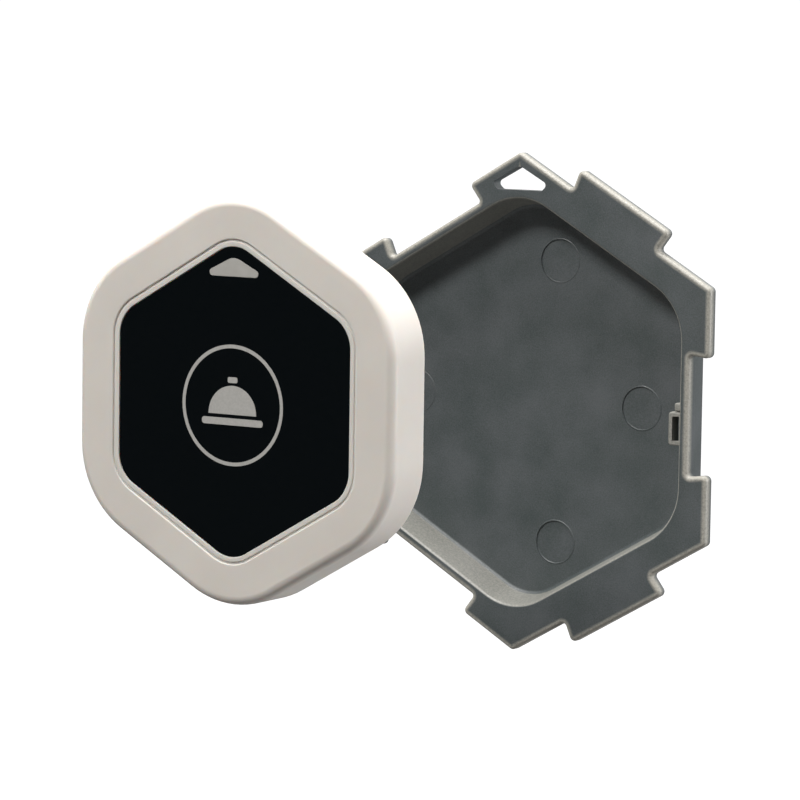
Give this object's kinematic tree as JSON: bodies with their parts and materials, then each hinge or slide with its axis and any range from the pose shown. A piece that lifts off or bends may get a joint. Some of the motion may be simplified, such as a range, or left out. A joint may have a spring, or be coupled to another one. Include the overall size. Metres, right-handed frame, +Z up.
{
  "type": "wireless call button with bracket",
  "caption": "Hexagonal wireless call-button transmitter with a press panel, lifted out of its interlocking grey bracket tray.",
  "frame": {"origin": "centre of the bracket's flat back face", "axes": "+Z up, +X to the right seen from the front, -Y towards the person who presses the button"},
  "size_m": [0.0826, 0.0981, 0.0906],
  "materials": {
    "bracket_plastic": "spark-eroded mid grey ABS",
    "case_plastic": "fine satin warm off-white ABS",
    "label_film": "satin black printed film",
    "window_plastic": "translucent silver-grey print",
    "seal_rubber": "black silicone",
    "sticker_film": "blank matt white film",
    "board_laminate": "green solder mask over glass epoxy",
    "chip_resin": "black moulding resin",
    "cell_steel": "stamped nickel-plated steel",
    "contact_brass": "bright brass strip and wire",
    "capacitor_case": "yellow-brown tantalum case",
    "screw_steel": "zinc-plated steel"
  },
  "bodies": {
    "bracket": {"bracket_tray": "bracket_plastic"},
    "transmitter": {"front_housing": "case_plastic", "back_cover": "case_plastic", "seal_ring": "seal_rubber", "rating_sticker": "sticker_film", "circuit_board": "board_laminate", "coin_cell": "cell_steel", "cell_contact": "contact_brass", "cell_clip": "cell_steel", "switch_base": "chip_resin", "controller_chip": "chip_resin", "radio_chip": "chip_resin", "crystal": "cell_steel", "supply_capacitor": "capacitor_case", "indicator_led": "window_plastic", "loop_antenna": "contact_brass", "cover_screw_1": "screw_steel", "cover_screw_2": "screw_steel", "cover_screw_3": "screw_steel", "board_screw_1": "screw_steel", "board_screw_2": "screw_steel", "board_screw_3": "screw_steel"},
    "press_panel": {"press_plate": "case_plastic", "face_label": "label_film", "light_window": "window_plastic"},
    "plunger": {"switch_plunger": "seal_rubber"}
  },
  "joints": [
    {"name": "transmitter_dock", "type": "slide", "parent": "bracket", "child": "transmitter", "axis": [0, 0.9964, -0.0847], "range_m": [0, 0.08661]},
    {"name": "button_press", "type": "slide", "parent": "transmitter", "child": "press_panel", "axis": [0, 1, 0], "range_m": [0, 0.0004], "stiffness_N_per_m": 800},
    {"name": "plunger_travel", "type": "slide", "parent": "transmitter", "child": "plunger", "axis": [0, 1, 0], "range_m": [0, 0.0004]}
  ],
  "couplings": [
    {"joint": "plunger_travel", "follows": "button_press", "ratio": 1}
  ]
}
